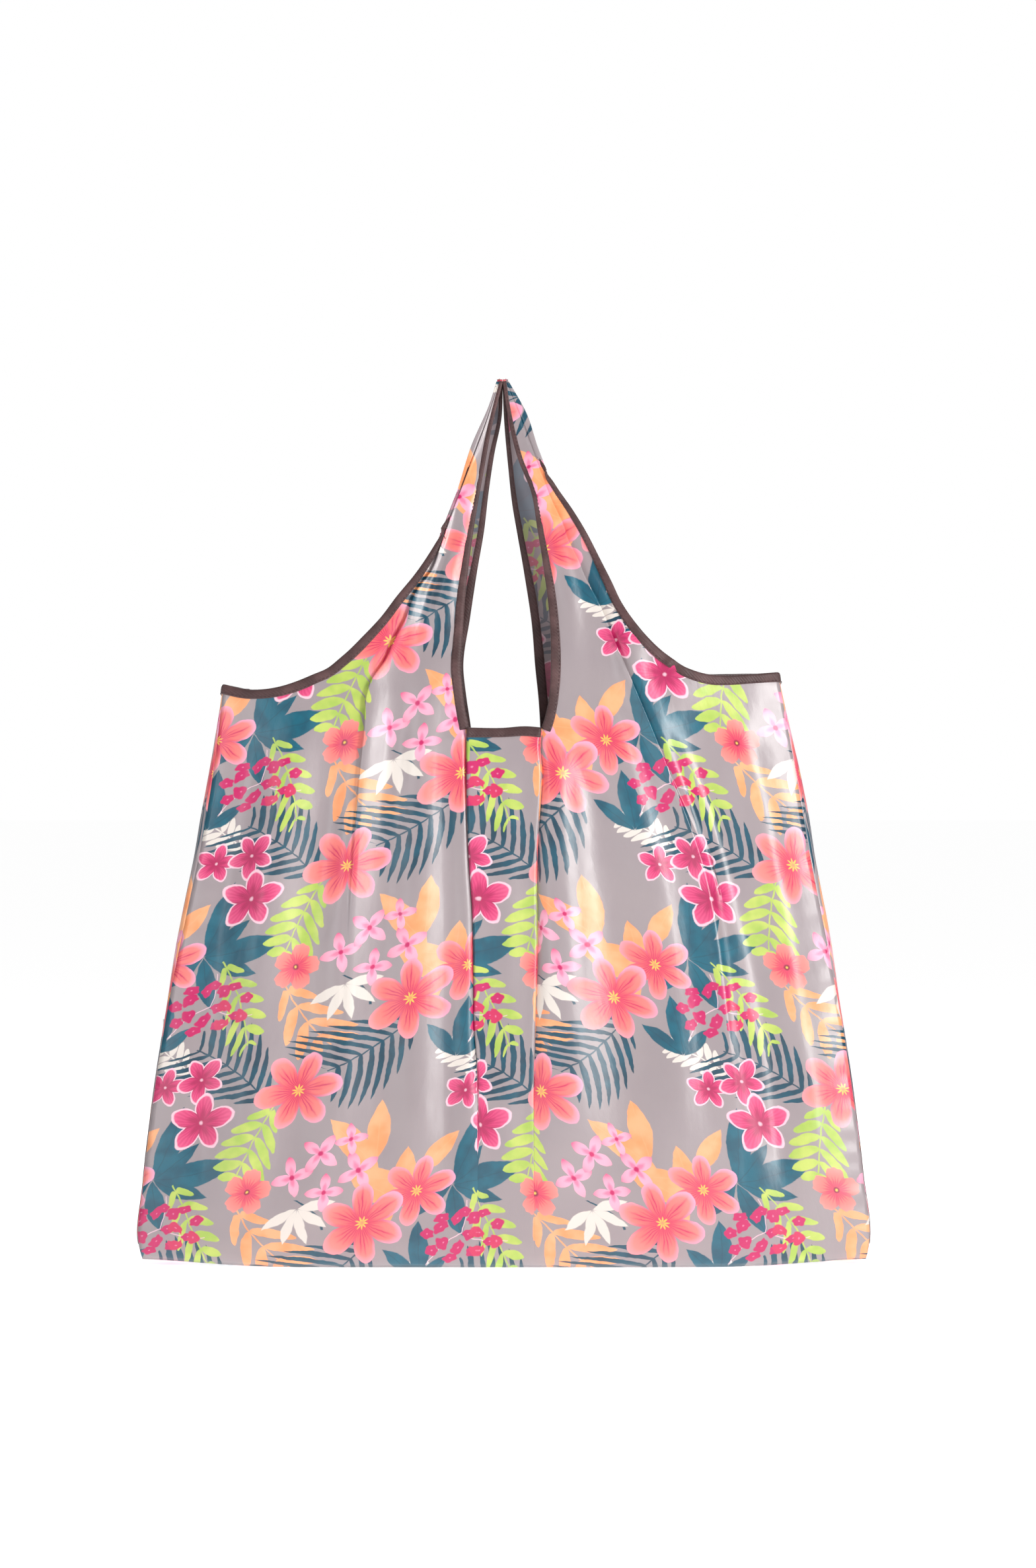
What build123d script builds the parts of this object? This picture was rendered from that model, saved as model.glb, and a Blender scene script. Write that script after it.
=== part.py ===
from build123d import *
import math
import os

# Foldable tote bag: a vest-shaped shopping bag of thin printed cloth, edged with folded binding tape.
# Millimetres. X runs across the bag, the front faces -Y, Z is up, and the base rests on Z = 0.

# Body: height, width, depth and corner radius of the outer face at each level
body_levels = [
    (0.0, 530.0, 86.0, 14.0),
    (14.0, 550.0, 100.0, 20.0),
    (217.0, 504.0, 92.0, 18.0),
    (433.0, 424.0, 78.0, 16.0),
    (480.0, 406.0, 75.0, 15.0),
]
cloth_thickness = 2.0  # doubled cloth with its folds
base_height = 8.0  # the base panel turns up this far
seam_inset = 8.0  # from the bag's side to the seams of the side gussets
seam_tape_width = 6.0
seam_tape_thickness = 1.0
seam_tape_low = 16.0
seam_tape_high = 424.0

# Openings and their binding
binding_width = 6.5
binding_thickness = 3.0
armhole_edge = [(214.0, 437.0), (192.0, 433.5), (168.0, 435.0), (142.0, 443.5), (118.0, 459.0)]
neck_edge = [(0.0, 404.0), (18.0, 404.4), (28.5, 408.5), (35.5, 420.0), (38.8, 437.0), (38.4, 460.0)]
shoulder_height = 455.0  # where the body ends and the handles begin

# Handles: height, inner edge, outer edge and binding width of a strap
strap_stations = [
    (456.0, 38.2, 121.0, 6.5),
    (490.0, 35.5, 90.0, 6.0),
    (522.0, 31.0, 66.0, 5.0),
    (560.0, 24.5, 46.0, 4.0),
    (620.0, 12.8, 26.0, 3.0),
    (662.0, 2.0, 12.5, 2.4),
]
strap_foot_depth = 37.3  # from the middle plane, at the foot of a strap
strap_top_depth = 3.4
handle_top = 670.0
handle_pivot = (80.0, 455.5)  # X and Z of the bend at a handle's foot
handle_swing = 70.0
handle_clearance_angle = 4.0

# Closure tab with its press stud, on the outside of the back
tab_width = 18.0
tab_top = 370.0
tab_bottom = 272.0
tab_thickness = 1.0
tab_gap = 2.0  # from the back panel to the tab
anchor_low = 371.0
anchor_high = 391.0
anchor_thickness = 1.2
stud_height = 381.5
socket_height = 281.0
stud_radius = 5.5
stud_post_radius = 2.0
stud_post_length = 2.2
stud_flange = 0.9
socket_radius = 5.0
socket_depth = 1.6
cap_radius = 6.0
cap_depth = 1.3

# Care label in the left side seam
label_size = (24.0, 0.8, 34.0)
label_height = 150.0

far = 700.0


def body_blank(grow):
    """The bag's outer form, made larger all round by grow, which is negative for the forms inside it."""
    bottom = body_levels[0]
    levels = [(max(0.0, -grow), *bottom[1:])] + body_levels[1:]
    sections = Sketch()
    for height, width, depth, corner in levels:
        outline = RectangleRounded(width + 2 * grow, depth + 2 * grow, corner + grow)
        sections += Plane.XY.offset(height) * outline
    return loft(sections.faces(), ruled=True)


def hollow(outer_grow, inner_grow):
    """A wall between two sizes of the bag's form, open at the top."""
    return body_blank(outer_grow) - body_blank(inner_grow)


def prism(edges):
    """A front-view outline, given as edges in X and Z, carried right through the bag."""
    face = make_face(Plane.XZ * Curve(edges))
    return extrude(face, far / 2, both=True)


def slab(low_x, high_x, low_y, high_y, low_z, high_z):
    size = (high_x - low_x, high_y - low_y, high_z - low_z)
    middle = ((high_x + low_x) / 2, (high_y + low_y) / 2, (high_z + low_z) / 2)
    return Pos(*middle) * Box(*size)


def shifted(points, distance):
    """Points of an edge moved sideways, to the left of its direction."""
    moved = []
    for index, (x, z) in enumerate(points):
        ahead = points[min(index + 1, len(points) - 1)]
        behind = points[max(index - 1, 0)]
        along = math.hypot(ahead[0] - behind[0], ahead[1] - behind[1])
        across = (-(ahead[1] - behind[1]) / along, (ahead[0] - behind[0]) / along)
        moved.append((x + across[0] * distance, z + across[1] * distance))
    return moved


def mirrored(points):
    return [(-x, z) for x, z in reversed(points)]


def armhole_void(distance):
    """The cut-out over a shoulder, on the right, made larger by distance."""
    edge = shifted(armhole_edge, distance)
    start = (far / 2, edge[0][1])
    rim = Spline(*edge)
    frame = Polyline(edge[-1], (edge[-1][0], far), (far / 2, far), start, edge[0])
    return prism([rim, frame])


def neck_void(distance):
    """The cut-out between the handles, made larger by distance."""
    half = shifted(neck_edge, -distance)
    half[0] = (0.0, neck_edge[0][1] - distance)
    edge = mirrored(half[1:]) + half
    rim = Spline(*edge)
    frame = Polyline(edge[-1], (edge[-1][0], far), (edge[0][0], far), edge[0])
    return prism([rim, frame])


def seam_core(inset):
    """Everything between the two side seams."""
    side = [(width / 2 - inset, height) for height, width, depth, corner in body_levels]
    return prism([Polyline(*side, *mirrored(side), side[0])])


def body_parts():
    """Panels, gussets, base, bindings and seam tapes of the bag's body."""
    wall = hollow(0.0, -cloth_thickness)
    rim_wall = hollow((binding_thickness - cloth_thickness) / 2, -(binding_thickness + cloth_thickness) / 2)
    tape_wall = hollow(-cloth_thickness, -cloth_thickness - seam_tape_thickness)
    front = slab(-far, far, -far, 0, base_height, shoulder_height)
    back = slab(-far, far, 0, far, base_height, shoulder_height)
    armholes = armhole_void(0.0)
    wide_armholes = armhole_void(binding_width)
    neck = neck_void(0.0)
    wide_neck = neck_void(binding_width)
    left_half = slab(-far, 0, -far, far, base_height, shoulder_height)
    right_half = slab(0, far, -far, far, base_height, shoulder_height)
    cut = wide_armholes + mirror(wide_armholes, Plane.YZ)
    core = seam_core(seam_inset)
    cloth = wall - cut
    panels = (cloth & core) - wide_neck
    gussets = cloth - core
    armhole_rim = rim_wall & (wide_armholes - armholes)
    neck_rim = rim_wall & (wide_neck - neck) - cut
    tape_core = seam_core(seam_inset) - seam_core(seam_inset + seam_tape_width)
    tape = tape_wall & tape_core
    low_tape = slab(-far, far, -far, 0, seam_tape_low, seam_tape_high)
    high_tape = slab(-far, far, 0, far, seam_tape_low, seam_tape_high)
    ring = tape_wall & slab(-far, far, -far, far, base_height, base_height + seam_tape_width)
    parts = {
        "front_panel": panels & front,
        "back_panel": panels & back,
        "left_gusset": gussets & left_half,
        "right_gusset": gussets & right_half,
        "base_panel": wall & slab(-far, far, -far, far, 0, base_height),
        "front_neck_binding": neck_rim & front,
        "back_neck_binding": neck_rim & back,
        "right_armhole_binding": armhole_rim & right_half,
        "left_armhole_binding": mirror(armhole_rim & right_half, Plane.YZ),
        "base_seam": ring,
    }
    for side, half in (("left", left_half), ("right", right_half)):
        parts[f"front_{side}_seam"] = tape & low_tape & half
        parts[f"back_{side}_seam"] = tape & high_tape & half
    return parts


def strap_slab(thickness):
    """The leaning layer that a front strap lies in."""
    half = thickness / 2
    low, high = shoulder_height, strap_stations[-1][0]
    foot, top = -strap_foot_depth, -strap_top_depth
    corners = [(foot - half, low), (top - half, high), (top + half, high), (foot + half, low)]
    face = make_face(Plane.YZ * Polyline(*corners, corners[0]))
    return extrude(face, far / 2, both=True)


def strap_band(inner, outer):
    """A strip of a right-hand strap between two edges."""
    edges = [Spline(*inner), Line(inner[-1], outer[-1]), Spline(*outer), Line(outer[0], inner[0])]
    return prism(edges)


def swing_room():
    """The wedge beside a right-hand pivot that a handle leaves free for its swing."""
    angle = math.radians(handle_swing + handle_clearance_angle)
    x, z = handle_pivot
    tip = (x + far * math.cos(angle), z + far * math.sin(angle))
    return prism([Polyline((x, z), tip, (far, tip[1]), (far, z), (x, z))])


def handle_parts():
    """Cloth, bindings and top seams of the two handles."""
    inner = [(inner_x, z) for z, inner_x, outer_x, width in strap_stations]
    outer = [(outer_x, z) for z, inner_x, outer_x, width in strap_stations]
    inner_sewn = [(inner_x + width, z) for z, inner_x, outer_x, width in strap_stations]
    outer_sewn = [(outer_x - width, z) for z, inner_x, outer_x, width in strap_stations]
    room = swing_room()
    cloth = strap_band(inner_sewn, outer_sewn) & strap_slab(cloth_thickness)
    inner_rim = strap_band(inner, inner_sewn) & strap_slab(binding_thickness)
    outer_rim = strap_band(outer_sewn, outer) & strap_slab(binding_thickness)
    parts = {}
    for name, piece in (("strap", cloth), ("inner_binding", inner_rim), ("outer_binding", outer_rim)):
        front_piece = piece - room
        parts[f"right_front_{name}"] = front_piece
        parts[f"right_back_{name}"] = mirror(front_piece, Plane.XZ)
        parts[f"left_front_{name}"] = mirror(front_piece, Plane.YZ)
        parts[f"left_back_{name}"] = Rot(0, 0, 180) * front_piece
    low, inner_x, outer_x, width = strap_stations[-1]
    reach = strap_top_depth + binding_thickness / 2
    block = slab(inner_x, outer_x, -reach, reach, low, handle_top)
    top = fillet(block.edges().filter_by(Axis.X).group_by(Axis.Z)[-1], reach * 0.8)
    parts["right_top_seam"] = top
    parts["left_top_seam"] = mirror(top, Plane.YZ)
    return parts


def back_face(height):
    """Y of the back panel's outer face at a height between the two upper levels."""
    low, high = [level for level in body_levels if level[0] in (217.0, 433.0)]
    share = (height - low[0]) / (high[0] - low[0])
    return (low[2] + (high[2] - low[2]) * share) / 2


def tab_layer(near, thick, low, high):
    """A layer parallel to the back panel, near to near + thick away from it."""
    corners = [
        (back_face(low) + near, low),
        (back_face(high) + near, high),
        (back_face(high) + near + thick, high),
        (back_face(low) + near + thick, low),
    ]
    face = make_face(Plane.YZ * Polyline(*corners, corners[0]))
    return extrude(face, tab_width / 2, both=True)


def disc(radius, height, low_y, high_y):
    centre = Pos(0, (low_y + high_y) / 2, height)
    return centre * Rot(90, 0, 0) * Cylinder(radius, high_y - low_y)


def closure_parts():
    """The roll-up tab, its sewn anchor and the two halves of the press stud."""
    anchor = tab_layer(0.0, anchor_thickness, anchor_low, anchor_high)
    tab = tab_layer(tab_gap, tab_thickness, tab_bottom, tab_top)
    tip = Pos(0, 0, tab_bottom + tab_width / 2) * Rot(90, 0, 0) * Cylinder(tab_width / 2, far)
    square_end = slab(-tab_width, tab_width, 0, far, tab_bottom - 1, tab_bottom + tab_width / 2)
    tab = tab - (square_end - tip)
    stud_face = back_face(stud_height) + anchor_thickness
    flange = disc(stud_radius, stud_height, stud_face - 0.3, stud_face + stud_flange)
    post_end = stud_face + stud_flange + stud_post_length
    post = disc(stud_post_radius, stud_height, stud_face - 0.3, post_end)
    socket_face = back_face(socket_height) + tab_gap
    socket = disc(socket_radius, socket_height, socket_face - socket_depth, socket_face + 0.3)
    socket -= disc(stud_post_radius + 0.3, socket_height, 0, socket_face - 0.2)
    cap_face = socket_face + tab_thickness
    cap = disc(cap_radius, socket_height, cap_face - 0.3, cap_face + cap_depth)
    cap = fillet(cap.edges().filter_by(GeomType.CIRCLE).group_by(Axis.Y)[-1], cap_depth * 0.8)
    return {
        "tab_anchor": anchor - flange - post,
        "closure_tab": tab - socket - cap,
        "stud_flange": flange - post,
        "stud_post": post,
        "snap_socket": socket,
        "snap_cap": cap,
    }


def care_label():
    """A small folded label held in the left gusset, inside the bag."""
    width, thickness, height = label_size
    middle = label_height + height / 2
    low, high = [level for level in body_levels if level[0] in (14.0, 217.0)]
    share = (middle - low[0]) / (high[0] - low[0])
    gusset_x = -(low[1] + (high[1] - low[1]) * share) / 2 + cloth_thickness
    top = label_height + height
    blank = slab(gusset_x - width, gusset_x + width, -thickness / 2, thickness / 2, label_height, top)
    return blank & body_blank(-cloth_thickness)


nodes = body_parts() | handle_parts() | closure_parts()
nodes["care_label"] = care_label()

os.makedirs("parts", exist_ok=True)
for name, piece in nodes.items():
    export_step(piece, f"parts/{name}.step")
    print(f"{name}: {piece.volume:.0f} mm3")
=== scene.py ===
import math

import bmesh
import bpy
import numpy as np
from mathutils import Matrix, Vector


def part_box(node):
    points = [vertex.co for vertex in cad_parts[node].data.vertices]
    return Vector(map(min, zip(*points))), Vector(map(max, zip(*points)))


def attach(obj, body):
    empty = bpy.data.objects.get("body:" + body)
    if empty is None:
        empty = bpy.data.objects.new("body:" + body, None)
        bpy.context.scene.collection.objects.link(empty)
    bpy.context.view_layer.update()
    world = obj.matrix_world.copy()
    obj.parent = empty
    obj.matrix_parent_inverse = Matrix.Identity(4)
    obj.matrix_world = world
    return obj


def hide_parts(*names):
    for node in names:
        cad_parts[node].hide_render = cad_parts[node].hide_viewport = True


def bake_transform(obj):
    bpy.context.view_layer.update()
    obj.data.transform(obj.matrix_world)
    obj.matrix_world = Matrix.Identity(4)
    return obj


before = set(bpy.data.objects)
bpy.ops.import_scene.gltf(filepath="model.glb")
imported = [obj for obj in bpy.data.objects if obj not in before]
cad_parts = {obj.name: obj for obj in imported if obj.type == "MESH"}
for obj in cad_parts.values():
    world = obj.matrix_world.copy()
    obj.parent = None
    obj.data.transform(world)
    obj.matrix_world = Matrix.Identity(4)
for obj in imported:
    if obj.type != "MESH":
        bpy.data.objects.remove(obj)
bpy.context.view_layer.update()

mm = 0.001  # lengths below are in millimetres unless a note says otherwise


# the studio: camera, floor and light
studio = {
    "cameraX": 0.0119,
    "cameraZ": 0.3626,
    "frameHeight": 1.1728,  # what the long side of the frame sees at the bag's front
    "lens": 100.0,
    "sensor": 36.0,
    "floorSize": 80.0,
    "floorColour": (0.9, 0.9, 0.9, 1.0),
    "floorGlow": 0.75,
    "surroundings": 1.0,  # what the camera sees round the bag
    "roomLight": 0.26,  # what the room's walls give back
}
# place, aimed at, size, power and colour of each softbox
softboxes = [
    ((1.5, -1.9, 0.95), (0.0, 0.0, 0.30), (0.5, 1.5), 34.0, (1.0, 0.985, 0.97)),
    ((-1.7, -2.1, 0.9), (0.0, 0.0, 0.30), (0.4, 1.5), 6.0, (0.97, 0.985, 1.0)),
    ((0.1, -1.0, 2.3), (0.0, 0.0, 0.35), (1.2, 0.6), 6.0, (1.0, 1.0, 1.0)),
    ((0.4, 2.2, 1.6), (0.0, 0.0, 0.35), (1.6, 1.2), 16.0, (1.0, 1.0, 1.0)),
]


def makeStudio():
    camera = bpy.data.cameras.new("camera")
    camera.lens = studio["lens"]
    camera.sensor_width = studio["sensor"]
    camera.sensor_fit = "AUTO"
    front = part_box("front_panel")[0].y
    distance = studio["frameHeight"] * studio["lens"] / studio["sensor"]
    holder = bpy.data.objects.new("camera", camera)
    holder.location = (studio["cameraX"], front - distance, studio["cameraZ"])
    holder.rotation_euler = (math.radians(90), 0, 0)
    bpy.context.scene.collection.objects.link(holder)
    bpy.context.scene.camera = holder
    for index, (place, aim, size, power, colour) in enumerate(softboxes):
        light = bpy.data.lights.new(f"softbox{index}", "AREA")
        light.shape = "RECTANGLE"
        light.size, light.size_y = size
        light.energy = power
        light.color = colour
        lamp = bpy.data.objects.new(light.name, light)
        lamp.location = place
        lamp.rotation_euler = (Vector(aim) - Vector(place)).to_track_quat("-Z", "Y").to_euler()
        bpy.context.scene.collection.objects.link(lamp)
    world = bpy.data.worlds.new("studio")
    world.use_nodes = True
    nodes, links = world.node_tree.nodes, world.node_tree.links
    seen = nodes.new("ShaderNodeLightPath")
    span = nodes.new("ShaderNodeMapRange")
    span.inputs["To Min"].default_value = studio["roomLight"]
    span.inputs["To Max"].default_value = studio["surroundings"]
    links.new(seen.outputs["Is Camera Ray"], span.inputs["Value"])
    links.new(span.outputs["Result"], nodes["Background"].inputs["Strength"])
    nodes["Background"].inputs["Color"].default_value = (1, 1, 1, 1)
    bpy.context.scene.world = world
    bpy.context.scene.view_settings.view_transform = "Standard"
    half = studio["floorSize"] / 2
    mesh = bpy.data.meshes.new("floor")
    corners = [(-half, -half, 0), (half, -half, 0), (half, half, 0), (-half, half, 0)]
    mesh.from_pydata(corners, [], [(0, 1, 2, 3)])
    floor = bpy.data.objects.new("floor", mesh)
    bpy.context.scene.collection.objects.link(floor)
    paper = bpy.data.materials.new("floorPaper")
    paper.use_nodes = True
    matt = {"Base Color": studio["floorColour"], "Roughness": 0.9, "Emission Color": (1, 1, 1, 1),
            "Emission Strength": studio["floorGlow"]}
    for socket, value in matt.items():
        paper.node_tree.nodes["Principled BSDF"].inputs[socket].default_value = value
    mesh.materials.append(paper)


makeStudio()
print("studio ready")


# small helpers for lines and meshes
def curveAt(points, where):
    knots = np.array(sorted(points), float)
    at, value = knots[:, 0], knots[:, 1]
    if len(at) < 3:
        return np.interp(where, at, value)
    slope = np.gradient(value, at)
    where = np.clip(np.asarray(where, float), at[0], at[-1])
    cell = np.clip(np.searchsorted(at, where, "right") - 1, 0, len(at) - 2)
    span = at[cell + 1] - at[cell]
    t = (where - at[cell]) / span
    low = (1 + 2 * t) * (1 - t) ** 2 * value[cell] + t * (1 - t) ** 2 * span * slope[cell]
    return low + t * t * (3 - 2 * t) * value[cell + 1] + t * t * (t - 1) * span * slope[cell + 1]


def smoothStep(low, high, value):
    t = np.clip((value - low) / (high - low), 0, 1)
    return t * t * (3 - 2 * t)


def throughKnots(knots, count):  # a smooth line through rows of knots, count steps in each span
    chord = np.maximum(np.linalg.norm(np.diff(knots, axis=0), axis=1), 0.2)
    speed = np.diff(knots, axis=0) / chord[:, None]
    turn = chord[:-1, None] + chord[1:, None]
    middle = (speed[:-1] * chord[1:, None] + speed[1:] * chord[:-1, None]) / turn
    velocity = np.concatenate([speed[:1], middle, speed[-1:]])
    rows = []
    for cell in range(len(knots) - 1):
        for step in range(count[cell]):
            t = step / count[cell]
            ends = (1 + 2 * t) * (1 - t) ** 2 * knots[cell] + t * t * (3 - 2 * t) * knots[cell + 1]
            pull = t * (1 - t) ** 2 * velocity[cell] + t * t * (t - 1) * velocity[cell + 1]
            rows.append(ends + pull * chord[cell])
    rows.append(knots[-1])
    return np.array(rows)


def meshObject(name, points, faces, materials, smooth=True, faceMaterials=None):
    mesh = bpy.data.meshes.new(name)
    mesh.from_pydata([tuple(p) for p in np.asarray(points) * mm], [], [tuple(f) for f in faces])
    for material in materials:
        mesh.materials.append(material)
    mesh.polygons.foreach_set("use_smooth", [smooth] * len(mesh.polygons))
    if faceMaterials is not None:
        mesh.polygons.foreach_set("material_index", faceMaterials)
    made = bpy.data.objects.new(name, mesh)
    bpy.context.scene.collection.objects.link(made)
    return made


# shader maths and materials
class Wire:  # a value in a material, so that shader maths reads as plain expressions
    def __init__(self, shade, socket):
        self.shade, self.socket = shade, socket

    def math(self, kind, *others):
        values = [self, *others]
        return self.shade.node("ShaderNodeMath", {"operation": kind}, dict(enumerate(values)))

    def __add__(self, other):
        return self.math("ADD", other)

    def __radd__(self, other):
        return self.math("ADD", other)

    def __sub__(self, other):
        return self.math("SUBTRACT", other)

    def __rsub__(self, other):
        return self.shade.node("ShaderNodeMath", {"operation": "SUBTRACT"}, {0: other, 1: self})

    def __mul__(self, other):
        return self.math("MULTIPLY", other)

    def __rmul__(self, other):
        return self.math("MULTIPLY", other)

    def __truediv__(self, other):
        return self.math("DIVIDE", other)

    def __abs__(self):
        return self.math("ABSOLUTE")

    def power(self, other):
        return self.math("POWER", other)

    def least(self, other):
        return self.math("MINIMUM", other)

    def most(self, other):
        return self.math("MAXIMUM", other)

    def cos(self):
        return self.math("COSINE")

    def sin(self):
        return self.math("SINE")

    def wrapped(self, low, high):
        return self.math("WRAP", high, low)

    def edge(self, softness=0.35):  # 1 where the value is above 0, over a narrow soft edge
        return self.shade.node("ShaderNodeMath", {"operation": "MULTIPLY_ADD", "use_clamp": True},
                               {0: self, 1: 0.5 / softness, 2: 0.5})

    def between(self, low, high):
        return self.shade.node("ShaderNodeMapRange", {"interpolation_type": "SMOOTHSTEP"},
                               {"Value": self, "From Min": low, "From Max": high})


class Shade:
    def __init__(self, name):
        self.material = bpy.data.materials.new(name)
        self.material.use_nodes = True
        self.tree = self.material.node_tree
        self.shader = self.tree.nodes["Principled BSDF"]

    def node(self, kind, settings, sockets, output=0):
        made = self.tree.nodes.new(kind)
        for key, value in settings.items():
            setattr(made, key, value)
        for key, value in sockets.items():
            if isinstance(value, Wire):
                self.tree.links.new(value.socket, made.inputs[key])
            else:
                made.inputs[key].default_value = value
        return Wire(self, made.outputs[output])

    def mix(self, share, under, over):  # colours are 4 numbers or wires
        return self.node("ShaderNodeMix", {"data_type": "RGBA"}, {0: share, 6: under, 7: over}, 2)

    def noise(self, place, scale, detail=2.0, output=0):
        sockets = {"Vector": place, "Scale": scale, "Detail": detail}
        return self.node("ShaderNodeTexNoise", {}, sockets, output)

    def vector(self, kind, *values):
        output = 1 if kind in ("LENGTH", "DOT_PRODUCT") else 0
        return self.node("ShaderNodeVectorMath", {"operation": kind}, dict(enumerate(values)), output)

    def split(self, place):
        made = self.tree.nodes.new("ShaderNodeSeparateXYZ")
        self.tree.links.new(place.socket, made.inputs[0])
        return Wire(self, made.outputs[0]), Wire(self, made.outputs[1])

    def feed(self, **values):  # principled sockets, with _ for the spaces in their names
        for key, value in values.items():
            socket = self.shader.inputs[key.replace("_", " ")]
            if isinstance(value, Wire):
                self.tree.links.new(value.socket, socket)
            else:
                socket.default_value = value


def ink(red, green, blue):  # a display colour, 0 to 255, as scene light
    parts = [v / 255 for v in (red, green, blue)]
    return (*[v / 12.92 if v <= 0.04045 else ((v + 0.055) / 1.055) ** 2.4 for v in parts], 1.0)


inks = {
    "ground": ink(168, 156, 158),
    "groundShade": ink(156, 144, 149),
    "coral": ink(250, 112, 108),
    "coralLight": ink(252, 150, 142),
    "lilac": ink(240, 170, 205),
    "deepPink": ink(215, 40, 95),
    "magenta": ink(204, 12, 100),
    "magentaLight": ink(238, 90, 140),
    "blush": ink(250, 205, 220),
    "lightPink": ink(246, 165, 198),
    "teal": ink(12, 82, 104),
    "tealLight": ink(8, 100, 122),
    "tealShade": ink(20, 62, 82),
    "lime": ink(200, 216, 104),
    "limeShade": ink(170, 200, 84),
    "orange": ink(255, 160, 104),
    "orangeLight": ink(255, 182, 132),
    "cream": ink(233, 224, 216),
    "yellow": ink(250, 205, 90),
    "wine": ink(140, 20, 60),
    "darkMagenta": ink(150, 8, 70),
    "heart": ink(160, 10, 74),
    "reverse": ink(122, 104, 108),  # the cloth's unprinted side
}
pattern = {"repeat": (227.0, 168.5), "anchor": (-175.0, 133.0), "wobble": 2.4, "wobbleScale": 0.11}


class Print:  # the printed pattern, drawn from the ground up
    def __init__(self, shade, cloth):
        self.shade = shade
        self.cloth = cloth
        self.colour = shade.mix(shade.noise(cloth, 0.02), inks["ground"], inks["groundShade"])

    def at(self, right, up, turn, size=1.0):  # motif space in mm, its first axis along the turn, in degrees
        wide, high = pattern["repeat"]
        spot = (pattern["anchor"][0] + right, pattern["anchor"][1] + up, 0)
        moved = self.shade.vector("SUBTRACT", self.cloth, spot)
        moved = self.shade.vector("WRAP", moved, (wide / 2, high / 2, 1), (-wide / 2, -high / 2, -1))
        sockets = {0: moved, "Rotation": (0, 0, math.radians(turn)), "Scale": (size, size, 1)}
        return self.shade.split(self.shade.node("ShaderNodeMapping", {"vector_type": "TEXTURE"}, sockets))

    def lay(self, share, colour):
        self.colour = self.shade.mix(share, self.colour, colour)

    def leaf(self, right, up, turn, length, width, colour, vein=None, lean=0.0):
        a, b = self.at(right, up, turn)
        if lean:
            b = b - lean * a * a
        share = a / length
        half = (share * (1 - share) * 4).most(0.0).power(1.05) * width / 1.8
        mask = (half - abs(b) - 0.4).edge()
        self.lay(mask, colour)
        if vein:
            self.lay((0.3 - abs(b)).edge() * mask * 0.5, vein)
        return mask

    def frond(self, right, up, turn, length, reach, pitch, slant, thick, colour, lean=0.0, leafy=False):
        a, b = self.at(right, up, turn)
        if lean:
            b = b - lean * a * a
        side = abs(b)
        along = a - side * slant - side * side * 0.006
        share = (along / length).least(1.0).most(0.0)
        reachHere = (share * (1.04 - share) * 4).most(0.001).power(0.5) * reach
        cell = abs(along.wrapped(0.0, pitch) - pitch / 2)
        near = side / reachHere
        taper = (near * (1.02 - near) * 4).most(0.0).power(0.6)
        if not leafy:  # palm leaflets start narrow but joined to the rib
            taper = ((near + 0.12) * (1.0 - near) * 3.2).most(0.0).power(0.6)
        inside = share * (1 - share) * 400 - 1
        leaflets = (taper * thick - 0.35 - cell).least(inside).edge(0.3)
        rib = (0.55 - side).least(a).least(length * 1.02 - a).edge(0.3)
        mask = leaflets.most(rib)
        self.lay(mask, colour)
        return mask

    def stem(self, right, up, turn, length, lean, thick, colour):
        a, b = self.at(right, up, turn)
        mask = (thick - abs(b - lean * a * a)).least(a).least(length - a).edge(0.3)
        self.lay(mask, colour)

    def polar(self, right, up, turn, size=1.0):
        a, b = self.at(right, up, turn, size)
        radius = (a * a + b * b).power(0.5)
        return radius, self.shade.node("ShaderNodeMath", {"operation": "ARCTAN2"}, {0: b, 1: a})

    def petals(self, angle, count):  # 0 along each petal's middle, 1 between two petals
        step = math.pi / count
        return abs(angle.wrapped(-step, step)) / step

    def bigFlower(self, right, up, turn, size):
        r, angle = self.polar(right, up, turn, size)
        off = self.petals(angle, 6)
        outline = 31.5 + (angle * 2 + 0.6).cos() * 1.8 - off.power(2.0) * 17.5
        mask = (outline - r).edge()
        petal = self.shade.mix((r / 29).power(2.0) * 0.8, inks["coral"], inks["coralLight"])
        rim = (3.2 - (outline - r)).edge(2.6) * (angle.cos() * 0.3 + 0.6)
        petal = self.shade.mix(rim, petal, inks["lilac"])
        parting = (off - 0.80).edge(0.14) * (r / 9).least(1.0)
        petal = self.shade.mix(parting * 0.6, petal, inks["deepPink"])
        lines = ((angle * 36).cos() * 0.5 + 0.5).power(3.0)
        reach = (1 - off) * 17 + (angle * 11).cos() * 3 + 5
        streaks = (reach - r).edge(5.0) * (lines * 0.75 + 0.3).least(1.0)
        petal = self.shade.mix(streaks, petal, inks["deepPink"])
        petal = self.shade.mix((7.0 - r).edge(4.0) * 0.7, petal, inks["deepPink"])
        self.lay(mask, petal)
        self.lay((((angle * 9).cos() * 1.5 + 3.3) - r).edge(0.7) * 0.9, inks["yellow"])
        self.lay((1.4 - r).edge(0.6) * 0.6, inks["coral"])

    def hibiscus(self, right, up, turn, size):
        r, angle = self.polar(right, up, turn, size)
        off = self.petals(angle, 5)
        outline = 17.5 - off.power(3.0) * 7 + (angle * 20).cos() * 0.4
        petal = self.shade.mix((r / 16).power(2.0) * 0.8, inks["coral"], inks["coralLight"])
        petal = self.shade.mix((off - 0.84).edge(0.1) * 0.5, petal, inks["deepPink"])
        heart = (((angle * 25).cos() * 2 + 7.5) - r).edge(2.5)
        petal = self.shade.mix(heart * 0.75, petal, inks["deepPink"])
        self.lay((outline - r).edge(), petal)
        self.lay((2.2 - r).edge(0.6), inks["wine"])
        self.lay((0.9 - r).edge(0.5), inks["yellow"])

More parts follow.
